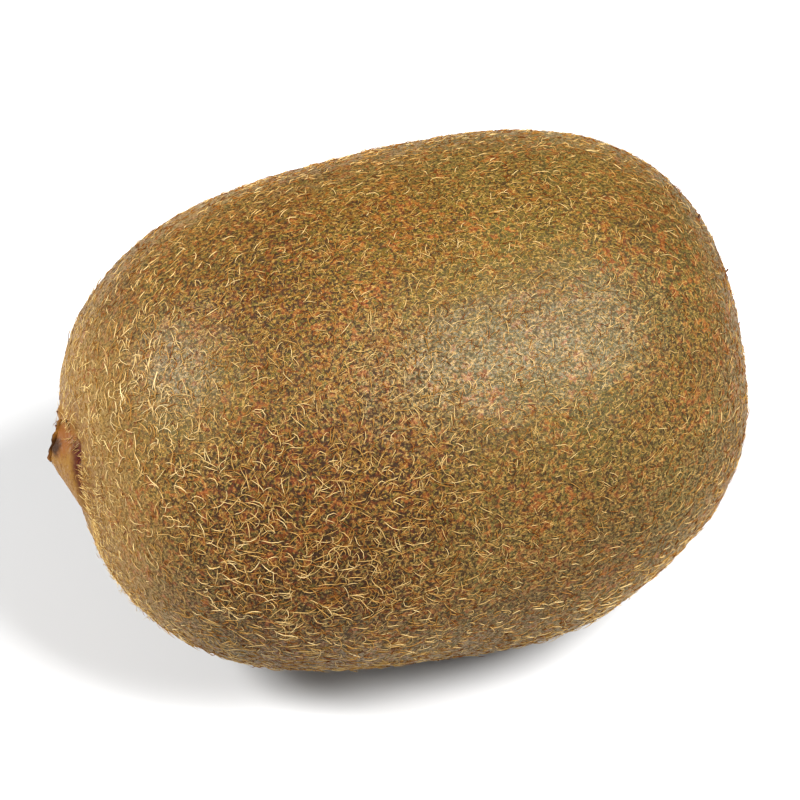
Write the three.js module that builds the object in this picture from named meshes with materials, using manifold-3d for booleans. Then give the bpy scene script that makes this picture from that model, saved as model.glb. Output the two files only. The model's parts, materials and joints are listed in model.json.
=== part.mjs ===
// A whole kiwi fruit lying on its side, as picked, with its stem scar at -X and its blossom end at +X.
// Units are millimetres and +Z is up. The origin is under the middle of the fruit, on the surface it lies on.
import * as THREE from "three";
import { mergeVertices } from "three/addons/utils/BufferGeometryUtils.js";
import Module from "manifold-3d";

// ---- The body: two blunt half-eggs that meet at the widest section, where the axis coordinate is 0.
const STEM_REACH = 37.4; // widest section to the stem end
const BLOSSOM_REACH = 29.6; // widest section to the blossom end
const BODY_WIDTH = 52.8; // across Y
const BODY_HEIGHT = 50.2; // across Z, before the resting spot is pressed flat
const STEM_BLUNTNESS = 2.65; // exponent of the outline: 2 is an ellipse, and more is squarer
const BLOSSOM_BLUNTNESS = 2.62;
const BODY_DETAIL = 14; // each edge of the icosahedron is split into one more than this

// Both ends lean a little: the first figure bends them the same way, the second bends them apart.
const LEAN_Y = [0.4, 0.4];
const LEAN_Z = [1.4, 1.2];
// The section isn't a plain oval: it has three very faint corners, in parts of its radius.
const CORNERS = { amount: 0.005, turn: 0.6 };
// Broad shallow lumps and hollows: where each lies, how far it stands out, and its radius.
const LUMPS = [
  { at: [5, -19.5, -17], height: 0.5, radius: 8 },
  { at: [17, -20, -12], height: -0.4, radius: 7 },
  { at: [25, -17, -3], height: 0.35, radius: 7 },
  { at: [28, -11, 8], height: -0.3, radius: 7 },
  { at: [-14, -18, -18], height: -0.35, radius: 7 },
  { at: [-36, 9, 4], height: 0.4, radius: 7 },
  { at: [-13, 16, 20], height: -0.25, radius: 8 },
  { at: [12, 24, 5], height: 0.35, radius: 10 },
  { at: [-20, 20, -9], height: -0.3, radius: 9 },
];

const FLAT_DEPTH = 0.35; // how much of the lowest skin is pressed flat where the fruit lies

// ---- The stem end: a corky button whose scar leans to one side, with a narrow moat beside it and stubs of
// dried sepals round it.
const STEM_OFFSET = [2.0, -0.4]; // middle of the button's root from the middle of the end, along Y and Z
const STEM_LEAN_WAY = [0.64, 0.77]; // the way the button leans, along Y and Z
const STEM_LEAN = 0.52; // radians that the scar's facing leans that way from the skin's
const STEM_TILT = 0.25; // radians that it also leans to the left of that way
const SCAR_CENTRE = [3.0, 1.2]; // from the middle of the root: along the lean, and out from the skin
const SCAR_RADIUS = 1.95;
const SCAR_DEPTH = 0.4; // the scar is dished below its rim
const BUTTON_SPREAD = 0.9; // how much wider the flank is for each millimetre below the rim
const BUTTON_ROOT = 6.4; // flank and root together, along the button's axis
const BUTTON_SIDES = 36;
// The button isn't quite round: waves round its flank, in parts of its radius, and round its rim.
const FLANK_WAVES = [
  { count: 3, amount: 0.03, turn: 1 },
  { count: 7, amount: 0.02, turn: 0 },
];
const RIM_WAVE = { count: 5, height: 0.08, turn: 2 };
const STUMP_RADIUS = 0.7; // the dead stalk's stump, in the middle of the scar

// The moat's middle line is part of an oval, which rises out of the skin at its two ends. Angles are in
// radians round the button, from the way it leans.
const MOAT = {
  middle: 0.8, // of the oval, along the lean
  along: 6, // half the oval's size along the lean
  across: 4.75, // and across it
  height: 0.45,
  turn: 1.85, // the middle of the moat's arc
  arc: 2,
  lift: 0.9, // how much higher its two ends are
  halfWidth: 0.45,
};
const SEPALS = {
  ways: [0.16, 0.8, 1.45, 2.1, 5.52], // round the button, the other way
  distance: 4.4,
  length: [0.6, 1.0],
  width: 1.5,
  thickness: 0.65,
  root: 1, // sunk into the skin
  lean: 1.42, // away from the skin's facing, in radians
  seed: 11,
};

// ---- The blossom end: a low swelling with a round socket, which holds the withered styles.
const BLOSSOM_OFFSET = [2.1, 4.9];
const SWELLING = { height: 0.45, radius: 7 };
const SOCKET_RADIUS = 2.8;
const SOCKET_DEPTH = 1.2;
const SEAT_GAP = 0.3; // clear space between the styles' foot and the socket
const STYLES = {
  count: 19,
  length: [1.7, 2.9],
  radius: 0.34, // at the root
  taper: 0.8, // tip radius, in parts of the root's
  pinch: 0.35, // a withered waist, in parts of the radius
  spread: [0.3, 1.2], // lean away from the middle, in radians
  curl: 0.25, // most that a style leans further at its tip
  ring: 1.5, // how far from the middle the outermost are rooted
  rings: 3,
  sides: 5,
  seed: 29,
};
const GOLDEN_ANGLE = Math.PI * (3 - Math.sqrt(5));

const wasm = await Module();
wasm.setup();

// A seeded stream of numbers from 0 to 1, so that each build is the same.
function randomStream(seed) {
  let state = seed;
  return () => {
    state = (state + 0x6d2b79f5) | 0;
    let mixed = Math.imul(state ^ (state >>> 15), 1 | state);
    mixed = (mixed + Math.imul(mixed ^ (mixed >>> 7), 61 | mixed)) ^ mixed;
    return ((mixed ^ (mixed >>> 14)) >>> 0) / 4294967296;
  };
}

const between = ([low, high], share) => low + (high - low) * share;

// Turns a closed geometry into a solid that can be joined and cut.
function solid(geometry) {
  geometry.deleteAttribute("normal");
  geometry.deleteAttribute("uv");
  const merged = mergeVertices(geometry, 1e-4);
  return new wasm.Manifold(
    new wasm.Mesh({
      numProp: 3,
      vertProperties: new Float32Array(merged.attributes.position.array),
      triVerts: new Uint32Array(merged.index.array),
    }),
  );
}

// Turns a solid back into a mesh with its name and finish.
function mesh(name, shape, finish) {
  const { vertProperties, triVerts } = shape.getMesh();
  const geometry = new THREE.BufferGeometry();
  geometry.setAttribute("position", new THREE.BufferAttribute(vertProperties, 3));
  geometry.setIndex(new THREE.BufferAttribute(triVerts, 1));
  geometry.computeVertexNormals();
  const made = new THREE.Mesh(geometry, new THREE.MeshStandardMaterial(finish));
  made.name = name;
  return made;
}

// Moves every vertex of a geometry by a function of its place.
function reshape(geometry, move) {
  const position = geometry.attributes.position;
  const point = new THREE.Vector3();
  for (let i = 0; i < position.count; i += 1) {
    move(point.fromBufferAttribute(position, i));
    position.setXYZ(i, point.x, point.y, point.z);
  }
  return geometry;
}

// The leaning centre line: how far it has moved across at a share of the reach, -1 to 1.
function leanAt(share) {
  return new THREE.Vector3(
    0,
    LEAN_Y[0] * share ** 2 + LEAN_Y[1] * share ** 3,
    LEAN_Z[0] * share ** 2 + LEAN_Z[1] * share ** 3,
  );
}

// The skin's point in a direction from the middle of the widest section.
function skinPoint(direction) {
  const reach = direction.x < 0 ? STEM_REACH : BLOSSOM_REACH;
  const bluntness = direction.x < 0 ? STEM_BLUNTNESS : BLOSSOM_BLUNTNESS;
  const along = Math.abs(direction.x) / reach;
  const across = Math.hypot((2 * direction.y) / BODY_WIDTH, (2 * direction.z) / BODY_HEIGHT);
  const stretch = (along ** bluntness + across ** bluntness) ** (-1 / bluntness);
  const point = direction.clone().multiplyScalar(stretch);
  const angle = Math.atan2(direction.z, direction.y);
  const corners = 1 + CORNERS.amount * Math.cos(3 * angle + CORNERS.turn);
  point.y *= corners;
  point.z *= corners;
  for (const { at, height, radius } of LUMPS) {
    const distance = point.distanceTo(new THREE.Vector3(...at)) / radius;
    point.addScaledVector(direction, height * Math.exp(-distance * distance));
  }
  return point.add(leanAt(point.x / reach));
}

// A place on an end of the fruit: the skin point at an offset from the end's middle, and the way it faces.
function endPlace(side, [offsetY, offsetZ]) {
  const reach = side < 0 ? STEM_REACH : BLOSSOM_REACH;
  const at = (y, z) => skinPoint(new THREE.Vector3(side * reach, y, z).normalize());
  const step = 0.5;
  const point = at(offsetY, offsetZ);
  const acrossY = at(offsetY + step, offsetZ).sub(at(offsetY - step, offsetZ));
  const acrossZ = at(offsetY, offsetZ + step).sub(at(offsetY, offsetZ - step));
  const facing = acrossY.cross(acrossZ).normalize();
  return { point, facing: facing.x * side < 0 ? facing.negate() : facing };
}

// The move that stands a geometry made along +Y on a place of the skin, looking out along its facing,
// with its +X side turned to one way along Y and Z.
function standOn({ point, facing }, [wayY, wayZ] = [0, 1]) {
  const across = new THREE.Vector3(0, wayY, wayZ).cross(facing).normalize();
  const along = facing.clone().cross(across);
  return new THREE.Matrix4().makeBasis(along, facing, across).setPosition(point);
}

const onStem = standOn(endPlace(-1, STEM_OFFSET), STEM_LEAN_WAY);
const blossomPlace = endPlace(1, BLOSSOM_OFFSET);
const onBlossom = standOn(blossomPlace);

// ---- Body
function body() {
  const geometry = new THREE.IcosahedronGeometry(1, BODY_DETAIL);
  return reshape(geometry, (point) => {
    point.copy(skinPoint(point.clone()));
    const distance = point.distanceTo(blossomPlace.point) / SWELLING.radius;
    point.addScaledVector(blossomPlace.facing, SWELLING.height * Math.exp(-distance * distance));
  });
}

// ---- Stem button: a flank that spreads into the skin, and a dished scar with the dead stalk's stump in it.
function stemButton() {
  const profile = [
    [0, -BUTTON_ROOT],
    [SCAR_RADIUS + BUTTON_SPREAD * BUTTON_ROOT, -BUTTON_ROOT],
    [SCAR_RADIUS + BUTTON_SPREAD * 0.4 * BUTTON_ROOT, -0.4 * BUTTON_ROOT],
    [SCAR_RADIUS + BUTTON_SPREAD * 0.12 * BUTTON_ROOT, -0.12 * BUTTON_ROOT],
    [SCAR_RADIUS + 0.1, -0.1],
    [SCAR_RADIUS - 0.2, 0.05],
    [SCAR_RADIUS - 0.45, -0.05],
    [SCAR_RADIUS - 0.7, -SCAR_DEPTH],
    [STUMP_RADIUS, -SCAR_DEPTH],
    [STUMP_RADIUS - 0.3, -0.1],
    [0, -0.05],
  ].map(([radius, height]) => new THREE.Vector2(radius, height));
  const geometry = new THREE.LatheGeometry(profile, BUTTON_SIDES);
  reshape(geometry, (point) => {
    const angle = Math.atan2(point.z, point.x);
    const outer = Math.min(1, Math.hypot(point.x, point.z) / SCAR_RADIUS);
    let uneven = 1;
    for (const { count, amount, turn } of FLANK_WAVES) uneven += amount * Math.cos(count * angle + turn);
    point.x *= uneven;
    point.y += outer * RIM_WAVE.height * Math.cos(RIM_WAVE.count * angle + RIM_WAVE.turn);
    point.z *= uneven;
  });
  return geometry.rotateZ(-STEM_LEAN).rotateX(-STEM_TILT).translate(...SCAR_CENTRE, 0).applyMatrix4(onStem);
}

// The moat is a groove part of the way round the button, and fades out where the flank runs into the skin.
class MoatLine extends THREE.Curve {
  getPoint(share, target = new THREE.Vector3()) {
    const angle = MOAT.turn + (share - 0.5) * MOAT.arc;
    const rise = MOAT.height + MOAT.lift * (2 * Math.abs(share - 0.5)) ** 4;
    return target.set(MOAT.middle + MOAT.along * Math.cos(angle), rise, MOAT.across * Math.sin(angle));
  }
}

function moat() {
  const section = new THREE.Shape().absarc(0, 0, MOAT.halfWidth, 0, 2 * Math.PI, false);
  const options = { curveSegments: 5, steps: 30, bevelEnabled: false, extrudePath: new MoatLine() };
  return new THREE.ExtrudeGeometry(section, options).applyMatrix4(onStem);
}

// One sepal stub: a torn flake that lies out over the skin from the moat's edge, with its root sunk in.
function sepal(way, length) {
  const { distance, width, thickness, root, lean } = SEPALS;
  const flake = new THREE.CylinderGeometry(0.32, 0.5, length + root, 6, 1);
  flake.scale(thickness, 1, width).translate(0, (length - root) / 2, 0);
  flake.rotateZ(-lean).translate(distance, 0, 0).rotateY(way).translate(MOAT.middle, 0, 0);
  return flake.applyMatrix4(onStem);
}

// ---- Blossom end
function socket() {
  const below = -SOCKET_DEPTH;
  const profile = [
    [0, below],
    [SOCKET_RADIUS - 0.7, below],
    [SOCKET_RADIUS - 0.2, 0.6 * below],
    [SOCKET_RADIUS, 0.1],
    [SOCKET_RADIUS + 0.2, 2],
    [0, 2],
  ].map(([radius, height]) => new THREE.Vector2(radius, height));
  return new THREE.LatheGeometry(profile, 28).applyMatrix4(onBlossom);
}

// The foot that the styles grow from: it fills the socket but for the gap.
function stylesFoot() {
  const bottom = -SOCKET_DEPTH + SEAT_GAP;
  const wall = SOCKET_RADIUS - SEAT_GAP;
  const profile = [
    [0, bottom],
    [wall - 0.75, bottom],
    [wall - 0.25, 0.5 * bottom],
    [wall - 0.2, -0.1],
    [wall - 0.7, 0.2],
    [0.8, 0.35],
    [0, 0.3],
  ].map(([radius, height]) => new THREE.Vector2(radius, height));
  return new THREE.LatheGeometry(profile, 24).applyMatrix4(onBlossom);
}

// One withered style: a tapered stalk that curls outwards as it rises, with a blunt stigma at its tip.
function style(angle, spread, length, curl) {
  const { radius, taper, sides, rings, pinch, ring } = STYLES;
  const stalk = new THREE.CylinderGeometry(taper * radius, radius, 1, sides, rings);
  stalk.translate(0, 0.5, 0);
  reshape(stalk, (point) => {
    const share = point.y;
    const lean = spread + curl * share;
    const waist = 1 - pinch * Math.sin(Math.PI * share * 0.85);
    const outwards = length * share * Math.sin(lean) + point.x * waist * Math.cos(lean);
    const upwards = length * share * Math.cos(lean) - point.x * waist * Math.sin(lean);
    point.set(outwards, upwards, point.z * waist);
  });
  const rootRadius = (ring * spread) / STYLES.spread[1];
  return stalk.translate(rootRadius, -0.1, 0).rotateY(angle).applyMatrix4(onBlossom);
}

// ---- The two pieces
function fruit() {
  const random = randomStream(SEPALS.seed);
  let shape = solid(body()).add(solid(stemButton())).subtract(solid(moat()));
  for (const way of SEPALS.ways) {
    shape = shape.add(solid(sepal(way, between(SEPALS.length, random()))));
  }
  shape = shape.subtract(solid(socket()));
  const lowest = new THREE.Box3().setFromArray(shape.getMesh().vertProperties).min.z;
  const slab = new THREE.BoxGeometry(100, 100, 10).translate(0, 0, lowest + FLAT_DEPTH - 5);
  return shape.subtract(solid(slab));
}

function driedStyles() {
  const random = randomStream(STYLES.seed);
  let shape = solid(stylesFoot());
  for (let i = 0; i < STYLES.count; i += 1) {
    const spread = between(STYLES.spread, Math.sqrt((i + 0.5) / STYLES.count));
    const length = between(STYLES.length, random());
    shape = shape.add(solid(style(i * GOLDEN_ANGLE, spread, length, STYLES.curl * random())));
  }
  return shape;
}

const kiwi = new THREE.Group();
kiwi.add(mesh("fruit", fruit(), { color: 0x97744a, roughness: 0.85, metalness: 0 }));
kiwi.add(mesh("dried_styles", driedStyles(), { color: 0x3a2618, roughness: 0.95, metalness: 0 }));

// The origin goes under the middle of the whole box, on the surface that the fruit lies on.
const box = new THREE.Box3().setFromObject(kiwi);
const middle = box.getCenter(new THREE.Vector3());
kiwi.children.forEach((piece) => piece.geometry.translate(-middle.x, -middle.y, -box.min.z));

export default kiwi;
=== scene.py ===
# %% [markdown]
# # A fuzzy kiwi fruit
# This lesson dresses a finished solid model of a kiwi fruit so that it looks real. The solid gives the size
# and the form of the fruit. Everything that the eye meets first is made here: leathery skin, a corky stem
# button, torn sepals, withered styles and a coat of short stiff hairs. All sizes are in metres, so small
# ones are written as a number of millimetres times MM.

# %% Load the solid model
import json
import math

import bpy
import numpy as np
from mathutils import Matrix, Vector

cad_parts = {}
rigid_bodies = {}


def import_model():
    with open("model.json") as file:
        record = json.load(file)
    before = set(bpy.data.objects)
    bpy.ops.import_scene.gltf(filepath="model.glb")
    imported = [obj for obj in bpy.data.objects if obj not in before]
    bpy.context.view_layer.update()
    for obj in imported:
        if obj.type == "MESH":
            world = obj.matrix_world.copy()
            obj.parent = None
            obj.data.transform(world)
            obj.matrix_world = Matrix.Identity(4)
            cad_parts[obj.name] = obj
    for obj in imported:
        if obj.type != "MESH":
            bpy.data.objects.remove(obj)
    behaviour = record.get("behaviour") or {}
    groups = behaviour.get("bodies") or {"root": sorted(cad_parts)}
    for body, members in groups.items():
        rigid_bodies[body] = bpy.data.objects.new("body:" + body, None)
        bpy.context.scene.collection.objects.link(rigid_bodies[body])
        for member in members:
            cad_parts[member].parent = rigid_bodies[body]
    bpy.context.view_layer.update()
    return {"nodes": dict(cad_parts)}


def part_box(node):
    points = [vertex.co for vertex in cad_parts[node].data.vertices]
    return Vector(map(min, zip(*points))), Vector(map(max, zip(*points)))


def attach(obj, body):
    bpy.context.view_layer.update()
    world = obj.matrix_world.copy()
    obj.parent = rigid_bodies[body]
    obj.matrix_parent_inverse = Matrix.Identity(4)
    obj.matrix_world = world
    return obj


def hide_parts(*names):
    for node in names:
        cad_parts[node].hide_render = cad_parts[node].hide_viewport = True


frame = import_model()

MM = 0.001


# %% [markdown]
# ## Small helpers
# Blender's operators act on whatever is selected, and the loaded solids arrive selected. So each step first
# deselects everything and then picks its own object. A finished piece leaves its object at the origin, with
# its place in the mesh itself.

# %% Selecting, modifiers and joining
def pick(*objects):
    bpy.ops.object.select_all(action="DESELECT")
    for thing in objects:
        thing.select_set(True)
    bpy.context.view_layer.objects.active = objects[0]


def apply_modifier(thing, kind, **settings):
    modifier = thing.modifiers.new(kind.title(), kind)
    for name, value in settings.items():
        setattr(modifier, name, value)
    pick(thing)
    bpy.ops.object.modifier_apply(modifier=modifier.name)


def joined(name, pieces):
    pick(*pieces)
    bpy.ops.object.join()
    whole = bpy.context.view_layer.objects.active
    whole.name = name
    whole.data.name = name
    return whole


def points_of(thing):
    flat = np.empty(len(thing.data.vertices) * 3)
    thing.data.vertices.foreach_get("co", flat)
    return flat.reshape(-1, 3)


def set_points(thing, points):
    thing.data.vertices.foreach_set("co", np.ascontiguousarray(points, dtype=np.float32).ravel())
    thing.data.update()


# %% Small frames on the two ends
# Each is a matrix: its X runs across the skin, its Y looks out of the skin, and its origin lies on the skin.
def end_frame(place_mm, across, facing):
    out = Vector(facing).normalized()
    side = Vector(across).cross(out).normalized()
    along = out.cross(side)
    turn = Matrix((along, out, side)).transposed().to_4x4()
    return Matrix.Translation(Vector(place_mm) * MM) @ turn


fruit_low, fruit_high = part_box("fruit")
STEM = end_frame((fruit_low.x / MM + 2.22, 1.86, 24.47), (-0.02, 0.64, 0.77), (-1.0, 0.0, -0.02))
BLOSSOM = end_frame((fruit_high.x / MM - 0.53, 2.71, 32.09), (-0.09, 0.0, 1.0), (0.995, 0.03, 0.09))
print("stem end at", [round(v / MM, 1) for v in STEM.translation], "mm")
print("blossom end at", [round(v / MM, 1) for v in BLOSSOM.translation], "mm")


# %% [markdown]
# ## Camera, floor and light
# The fruit is seen from about 38 degrees above, with the stem end turned 20 degrees towards us, through a
# long lens. The light is that of a product table: white all round, one broad box from the upper right and
# one from the far left, which give the two pale sheens on the coat, and a weak one beside the camera, which
# lifts the shade on the near side.

# %% Camera
AZIMUTH = math.radians(-20.3)
ELEVATION = math.radians(38)
DISTANCE = 299.9 * MM
AIM = Vector((-0.06, 0, 25.1)) * MM

camera_right = Vector((math.cos(AZIMUTH), math.sin(AZIMUTH), 0))
camera_back = Vector(
    (
        math.sin(AZIMUTH) * math.cos(ELEVATION),
        -math.cos(AZIMUTH) * math.cos(ELEVATION),
        math.sin(ELEVATION),
    )
)
camera_up = camera_back.cross(camera_right)

camera_data = bpy.data.cameras.new("camera")
camera_data.lens = 135
camera_data.sensor_width = 36
camera_data.clip_start = 0.01
camera = bpy.data.objects.new("camera", camera_data)
bpy.context.scene.collection.objects.link(camera)
camera.matrix_world = (
    Matrix.Translation(AIM + camera_back * DISTANCE)
    @ Matrix((camera_right, camera_up, camera_back)).transposed().to_4x4()
)
bpy.context.scene.camera = camera
bpy.context.scene.view_settings.view_transform = "Standard"
print("camera at", [round(v / MM) for v in camera.matrix_world.translation], "mm")


# %% Floor
TABLE_WHITE = (0.45, 0.45, 0.45)
TABLE_SIZE = 6  # metres, so that its edge is never in view


def plain_material(name, colour, roughness):
    material = bpy.data.materials.new(name)
    material.use_nodes = True
    shader = material.node_tree.nodes["Principled BSDF"]
    shader.inputs["Base Color"].default_value = (*colour, 1)
    shader.inputs["Roughness"].default_value = roughness
    return material


bpy.ops.object.select_all(action="DESELECT")
bpy.ops.mesh.primitive_plane_add(size=TABLE_SIZE, location=(0, 0, 0))
floor = bpy.context.object
floor.name = "floor"
floor.data.materials.append(plain_material("pale_table", TABLE_WHITE, 1.0))
print("table:", TABLE_SIZE, "m wide")


# %% World and soft boxes
TENT_BRIGHTNESS = 0.145
SOFT_BOXES = (  # name, direction as camera right, up and back, distance and size in metres, and watts
    ("key_box", (0.54, 0.36, 0.76), 0.8, 0.34, 20.8),
    ("left_box", (-0.80, 0.42, 0.42), 0.7, 0.22, 10.5),
    ("low_box", (-0.50, -0.20, 0.80), 0.7, 0.35, 1.8),
)


def soft_box(name, direction, distance, size, power):
    """A square lamp that looks at the fruit."""
    towards = (
        camera_right * direction[0] + camera_up * direction[1] + camera_back * direction[2]
    ).normalized()
    lamp_data = bpy.data.lights.new(name, "AREA")
    lamp_data.shape = "SQUARE"
    lamp_data.size = size
    lamp_data.energy = power
    lamp = bpy.data.objects.new(name, lamp_data)
    bpy.context.scene.collection.objects.link(lamp)
    lamp.location = AIM + towards * distance
    lamp.rotation_euler = towards.to_track_quat("Z", "Y").to_euler()


world = bpy.data.worlds.new("white_tent")
world.use_nodes = True
world.node_tree.nodes["Background"].inputs["Color"].default_value = (1, 1, 1, 1)
world.node_tree.nodes["Background"].inputs["Strength"].default_value = TENT_BRIGHTNESS
bpy.context.scene.world = world
for box in SOFT_BOXES:
    soft_box(*box)


# %% [markdown]
# ## Skin
# The skin of a kiwi fruit is thin and leathery, and it follows the flesh with faint dimples. It could be
# modelled from a sphere again, but the solid already has the right form. So its copy is merged, wrapped in
# an even mesh by a voxel remesh, smoothed until the flat facets are gone, and then given its fine dimples
# by displacement. Smoothing is held back at the stem end, where the narrow moat has to stay sharp.

# %% Wrap the fruit in an even mesh
SKIN_VOXEL = 0.44 * MM
SAME_PLACE = 0.001 * MM

skin = bpy.data.objects.new("skin", frame["nodes"]["fruit"].data.copy())
bpy.context.scene.collection.objects.link(skin)
skin.data.materials.clear()
pick(skin)
bpy.ops.object.mode_set(mode="EDIT")
bpy.ops.mesh.select_all(action="SELECT")
bpy.ops.mesh.remove_doubles(threshold=SAME_PLACE)
bpy.ops.object.mode_set(mode="OBJECT")
apply_modifier(skin, "REMESH", mode="VOXEL", voxel_size=SKIN_VOXEL, adaptivity=0)
print("skin mesh:", len(skin.data.polygons), "faces")

# %% Smooth the facets away, but not the moat
CALM_FROM, CALM_OVER = 5.5 * MM, 2.5 * MM  # from the stem: full smoothing starts after both
CALM_LEVELS = 10

stem_distance = np.linalg.norm(points_of(skin) - np.array(STEM.translation), axis=1)
calm = np.clip((stem_distance - CALM_FROM) / CALM_OVER, 0, 1)
calm_group = skin.vertex_groups.new(name="calm")
for level in range(1, CALM_LEVELS + 1):
    members = np.nonzero(np.round(calm * CALM_LEVELS) == level)[0]
    calm_group.add(members.tolist(), level / CALM_LEVELS, "REPLACE")
apply_modifier(skin, "SMOOTH", factor=0.5, iterations=2)
apply_modifier(skin, "SMOOTH", factor=0.5, iterations=12, vertex_group="calm")
print("held back from smoothing:", int((calm < 1).sum()), "points")


# %% Refine the stem end and sharpen its moat
MOAT = (0.8, 6.0, 4.75)  # middle along the stem frame's X and the oval's half sizes along and across, mm
MOAT_DEEPEST, MOAT_HALF_ARC = 1.85, 0.8  # radians round the button from the way it leans
MOAT_DEPTH = 0.7 * MM
MOAT_WIDTH = 0.09  # as a share of the oval
BARE = (-1.0, 6.2, 5.0)  # the oval that hair keeps off, as MOAT is given
MOAT_REACH, BARE_REACH = -3, -4  # mm from the stem inwards, past which the ovals don't count
REFINED = 7.5 * MM  # how far round the stem the mesh is cut finer


def round_the_button(place, oval):
    """Where a place is in the stem's frame: its share of an oval, its angle round it, and its height."""
    middle, half_along, half_across = oval
    local = (place - np.array(STEM.translation)) @ np.array(STEM.to_3x3()) / MM
    along, across = (local[:, 0] - middle) / half_along, local[:, 2] / half_across
    return np.hypot(along, across), np.arctan2(across, along), local[:, 1]


def off_deepest(angle):
    """Radians round the button from the moat's deepest place."""
    return np.abs((angle - MOAT_DEEPEST + math.pi) % (2 * math.pi) - math.pi)


pick(skin)
centres = np.empty(len(skin.data.polygons) * 3)
skin.data.polygons.foreach_get("center", centres)
at_stem = np.linalg.norm(centres.reshape(-1, 3) - np.array(STEM.translation), axis=1) < REFINED
skin.data.polygons.foreach_set("select", at_stem)
skin.data.vertices.foreach_set("select", np.zeros(len(skin.data.vertices), dtype=bool))
skin.data.edges.foreach_set("select", np.zeros(len(skin.data.edges), dtype=bool))
bpy.ops.object.mode_set(mode="EDIT")
bpy.ops.mesh.select_mode(type="FACE")
bpy.ops.mesh.subdivide(number_cuts=2, smoothness=0)
bpy.ops.object.mode_set(mode="OBJECT")
skin_points = points_of(skin)
oval, angle, height = round_the_button(skin_points, MOAT)
fade = np.clip(1.3 * (1 - (off_deepest(angle) / MOAT_HALF_ARC) ** 2), 0, 1)
in_moat = np.exp(-(((oval - 1) / MOAT_WIDTH) ** 2)) * fade * (height > MOAT_REACH)
stem_out = np.array(STEM.to_3x3())[:, 1]
set_points(skin, skin_points - stem_out * (MOAT_DEPTH * in_moat)[:, None])
print("stem end:", int(at_stem.sum()), "faces refined,", int((in_moat > 0.5).sum()), "points in the moat")


# %% Dimples
def roughen(thing, name, size, depth, strength):
    """Moves a piece's points in and out by a cloud texture with lumps of a given size."""
    texture = bpy.data.textures.new(name, "CLOUDS")
    texture.noise_scale = size
    texture.noise_depth = depth
    apply_modifier(thing, "DISPLACE", texture=texture, strength=strength, mid_level=0.5)


roughen(skin, "broad_dimples", 5 * MM, 1, 0.25 * MM)
roughen(skin, "fine_dimples", 1.1 * MM, 2, 0.16 * MM)
skin_points = points_of(skin)
skin_points[:, 2] = np.maximum(skin_points[:, 2], 0)
set_points(skin, skin_points)
pick(skin)
bpy.ops.object.shade_smooth()
print("skin spans, mm:", np.round((skin_points.max(0) - skin_points.min(0)) / MM, 1))
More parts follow.
